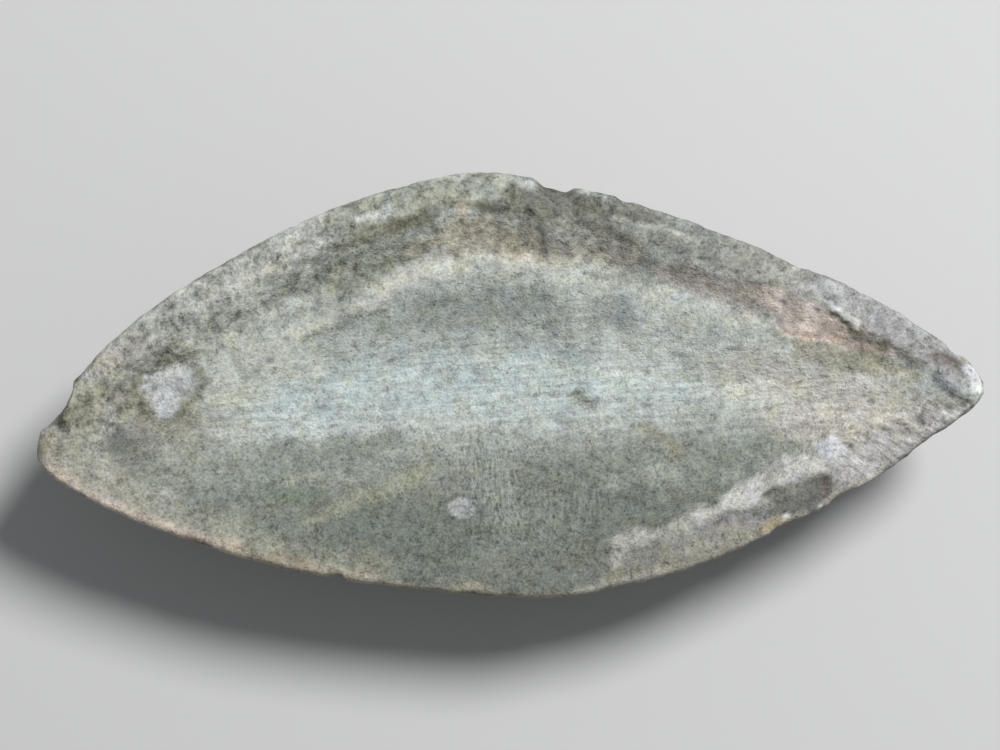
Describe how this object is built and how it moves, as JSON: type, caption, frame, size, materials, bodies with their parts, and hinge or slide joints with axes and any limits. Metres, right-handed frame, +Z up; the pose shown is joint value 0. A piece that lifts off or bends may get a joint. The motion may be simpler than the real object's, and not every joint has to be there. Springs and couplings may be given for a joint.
{
  "type": "leaf-shaped stone dish",
  "caption": "Shallow hollowed dish of grey-green stone with a leaf-shaped, pointed outline, one thick rim, one thin lip and a boat-shaped hull that rests on a small flat foot.",
  "frame": {"origin": "on the ground, below the middle of the dish's outline seen from above", "axes": "+X along the leaf from the blunt, notched tip to the sharp tip, +Y towards the high, thick-rimmed edge, +Z up out of the hollow"},
  "size_m": [0.1, 0.045, 0.02],
  "materials": {
    "stone": "fine grey-green stone, ground by hand, with a pale worn floor, brown and pink stains on the thick rim and small broken edges"
  },
  "bodies": {
    "root": {"stone_dish": "stone"}
  },
  "joints": []
}
